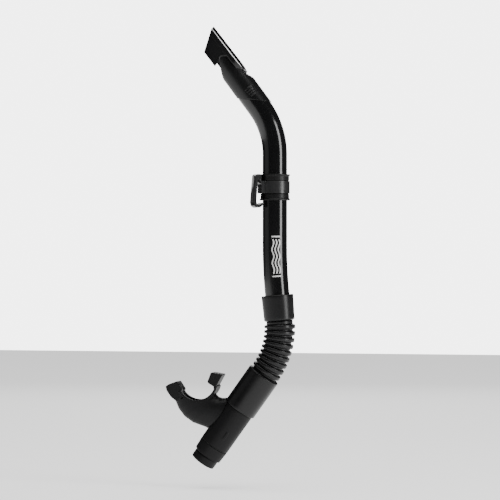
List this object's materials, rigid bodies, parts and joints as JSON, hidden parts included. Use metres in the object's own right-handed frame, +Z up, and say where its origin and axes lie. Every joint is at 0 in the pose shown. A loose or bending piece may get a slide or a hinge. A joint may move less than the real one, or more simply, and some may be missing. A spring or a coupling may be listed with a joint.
{
  "type": "snorkel tube",
  "caption": "J-shaped snorkel tube with a splash guard hood, a strap keeper and clip, a ribbed flexible hose, a purge valve and a mouthpiece.",
  "frame": {"origin": "on the barrel's axis at the middle of the strap keeper, where the mask strap holds the snorkel", "axes": "+Z up the barrel towards the splash guard hood, -X towards the mouthpiece, +Y across the plane that the snorkel bends in"},
  "size_m": [0.131, 0.0345, 0.4453],
  "materials": {
    "gloss_black_pvc": "polished moulded PVC",
    "satin_black_hood": "satin moulded plastic",
    "polished_black_plate": "polished flat plate",
    "keeper_black": "satin moulded plastic",
    "clip_black": "satin moulded plastic",
    "silicone_black": "satin silicone",
    "purge_black": "fine matt moulded plastic",
    "seat_black": "moulded plastic",
    "valve_silicone": "thin soft silicone",
    "mouth_silicone": "matt soft silicone"
  },
  "bodies": {
    "barrel": {"barrel": "gloss_black_pvc", "splash_hood": "satin_black_hood", "hood_plate": "polished_black_plate"},
    "keeper": {"keeper_sleeve": "keeper_black"},
    "clip": {"keeper_clip": "clip_black"},
    "upper_hose": {"hose_upper_cuff": "silicone_black", "hose_bellows": "silicone_black"},
    "lower_unit": {"hose_lower_cuff": "silicone_black", "purge_body": "purge_black", "purge_ring": "purge_black", "purge_end_collar": "purge_black", "purge_grille": "purge_black", "purge_valve_seat": "seat_black", "mouthpiece": "mouth_silicone"},
    "purge_flap": {"purge_valve_flap": "valve_silicone"}
  },
  "joints": [
    {"name": "keeper_slide", "type": "slide", "parent": "barrel", "child": "keeper", "axis": [0, 0, 1], "range_m": [-0.042, 0.018]},
    {"name": "clip_spin", "type": "hinge", "parent": "keeper", "child": "clip", "pos_m": [0, 0, 0], "axis": [0, 0, 1], "continuous": true},
    {"name": "hose_twist", "type": "hinge", "parent": "barrel", "child": "upper_hose", "pos_m": [0.00355, 0, -0.11987], "axis": [-0.0872, 0, 0.9962], "range_deg": [-90, 90]},
    {"name": "hose_flex", "type": "hinge", "parent": "upper_hose", "child": "lower_unit", "pos_m": [0.00233, 0, -0.16007], "axis": [0, 1, 0], "range_deg": [-30, 22], "stiffness_Nm_per_rad": 0.4, "deforming": ["hose_bellows"]},
    {"name": "flap_lift", "type": "slide", "parent": "lower_unit", "child": "purge_flap", "axis": [-0.5821, 0, -0.8131], "range_m": [0, 0.0018], "stiffness_N_per_m": 40}
  ]
}
